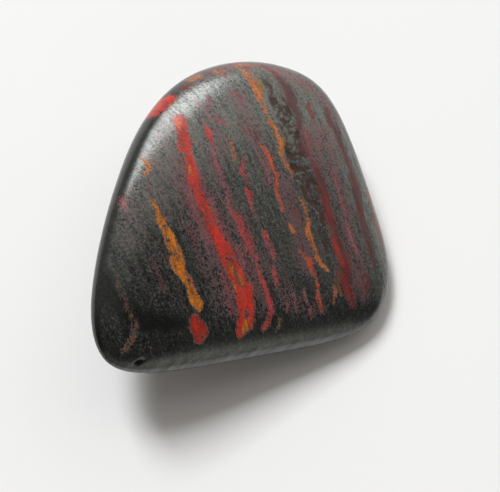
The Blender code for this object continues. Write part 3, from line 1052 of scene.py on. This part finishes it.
def stone_material():
    """Banded ironstone: each mineral lies over those before it."""
    material = bpy.data.materials.new("banded_ironstone")
    material.use_nodes = True
    nodes = StoneNodes(material)
    mauve = mauve_share(nodes)
    thread = thread_share(nodes)
    brown = broken_share(nodes)
    band = band_share(nodes)
    pit = nodes.step(nodes.attribute("pit"), *PIT_RANGE)
    spark = nodes.times(nodes.step(nodes.noises["sparks"], *SPARK_RANGE), nodes.plain)

    umber = nodes.mix(nodes.step(nodes.grains(UMBER_GRAINS), *UMBER_RANGE), solid(UMBER), solid(RUSSET))
    ground = nodes.mix(mauve, hematite(nodes), solid(MAUVE))
    ground = nodes.mix(thread, ground, solid(THREAD))
    ground = nodes.mix(brown, ground, umber)
    # Painted shade darkens the left flank and the lower left; the wear lines are the rock's own
    ground = nodes.shaded(nodes.shaded(ground, painted_shade_factor(nodes)), wear_lines(nodes))
    tone = nodes.step(nodes.grains(TONE_GRAINS), *TONE_RANGE)
    colour = nodes.mix(band, ground, nodes.shaded(nodes.attribute("band_colour", "Color"), tone))
    # Painted shade inside the pit
    colour = nodes.mix(pit, colour, solid(PIT_PAINTED_SHADE))
    colour = nodes.mix(spark, colour, solid(SPARKLE))

    metallic = HEMATITE_METALLIC
    layers = ((mauve, MAUVE_METALLIC), (thread, THREAD_METALLIC), (brown, BROKEN_METALLIC))
    layers += ((band, BAND_METALLIC), (pit, BARE_METALLIC), (spark, BARE_METALLIC))
    for share, value in layers:
        metallic = nodes.mix(share, metallic, value, "FLOAT")
    rougher = (nodes.noises["mottle"], MOTTLE_ROUGHNESS), (brown, BROKEN_ROUGHNESS), (pit, PIT_ROUGHNESS)

    nodes.feed(nodes.shader.inputs["Base Color"], colour)
    nodes.feed(nodes.shader.inputs["Metallic"], metallic)
    nodes.feed(nodes.shader.inputs["Roughness"], nodes.total(POLISH, *rougher))
    nodes.feed(nodes.shader.inputs["Normal"], bump(nodes))
    nodes.shader.inputs["IOR"].default_value = IOR
    return material


def make_floor():
    """The white sheet that the pebble lies on."""
    bpy.ops.mesh.primitive_plane_add(size=FLOOR_SIZE, location=(0, 0, 0))
    floor = bpy.context.object
    floor.name = "floor"
    material = bpy.data.materials.new("paper")
    material.use_nodes = True
    shader = material.node_tree.nodes["Principled BSDF"]
    shader.inputs["Base Color"].default_value = PAPER
    shader.inputs["Roughness"].default_value = PAPER_ROUGHNESS
    shader.inputs["Specular IOR Level"].default_value = PAPER_SPECULAR
    floor.data.materials.append(material)


def make_camera():
    """A camera in front of the pebble and high over it, looking down."""
    camera = bpy.data.objects.new("camera", bpy.data.cameras.new("camera"))
    bpy.context.scene.collection.objects.link(camera)
    toward = Vector(directions(-90.0, CAMERA_ELEVATION))
    camera.location = (Vector(CAMERA_TARGET) + toward * CAMERA_DISTANCE) * MM
    camera.rotation_euler = (math.radians(90 - CAMERA_ELEVATION), 0, 0)
    camera.data.sensor_width = SENSOR_WIDTH
    camera.data.lens = SENSOR_WIDTH * CAMERA_DISTANCE / PICTURE_WIDTH
    camera.data.clip_start = CAMERA_NEAREST * MM
    bpy.context.scene.camera = camera


def make_light(name, azimuth, elevation, roll, width, height, watts, colour, mirrored):
    """A soft rectangular light that either only shows in mirrors, or only lights surfaces."""
    light = bpy.data.lights.new(name, "AREA")
    light.shape = "RECTANGLE"
    light.size = width
    light.size_y = height
    light.energy = watts
    light.color = colour
    lamp = bpy.data.objects.new(name, light)
    bpy.context.scene.collection.objects.link(lamp)
    toward = Vector(directions(azimuth, elevation))
    lamp.location = Vector((0, 0, LIGHT_AIM)) + toward * LIGHT_DISTANCE
    facing = (-toward).to_track_quat("-Z", "Y") @ Quaternion((0, 0, 1), math.radians(roll))
    lamp.rotation_euler = facing.to_euler()
    lamp.visible_glossy = mirrored
    lamp.visible_diffuse = not mirrored


def make_room():
    """A pale room: bright behind the pebble, dark where the camera stands and dimmer to the left."""
    world = bpy.data.worlds.new("room")
    bpy.context.scene.world = world
    world.use_nodes = True
    nodes = Nodes(world.node_tree)
    direction = nodes.tree.nodes.new("ShaderNodeTexCoord").outputs["Generated"]
    split = nodes.tree.nodes.new("ShaderNodeSeparateXYZ")
    nodes.feed(split.inputs[0], direction)
    right, back, up = split.outputs
    behind = nodes.total(nodes.step(back, *ROOM_BEHIND), nodes.step(back, *ROOM_STRAIGHT_BEHIND))
    front = nodes.times(nodes.step(back, *ROOM_FRONT), nodes.step(up, *ROOM_FRONT_LOW))
    room = nodes.times(nodes.total(behind, front), nodes.step(right, *ROOM_LEFT))
    toward_camera = nodes.vector_math("DOT_PRODUCT", direction, DARK_DIRECTION, "Value")
    room = nodes.times(room, nodes.step(toward_camera, *ROOM_DARK))
    background = nodes.tree.nodes["Background"]
    background.inputs["Color"].default_value = ROOM_WARMTH
    nodes.feed(background.inputs["Strength"], room)
    bpy.context.scene.view_settings.view_transform = "Standard"


make_stone()
make_floor()
make_camera()
for name, settings in LIGHTS.items():
    make_light(name, *settings)
make_room()
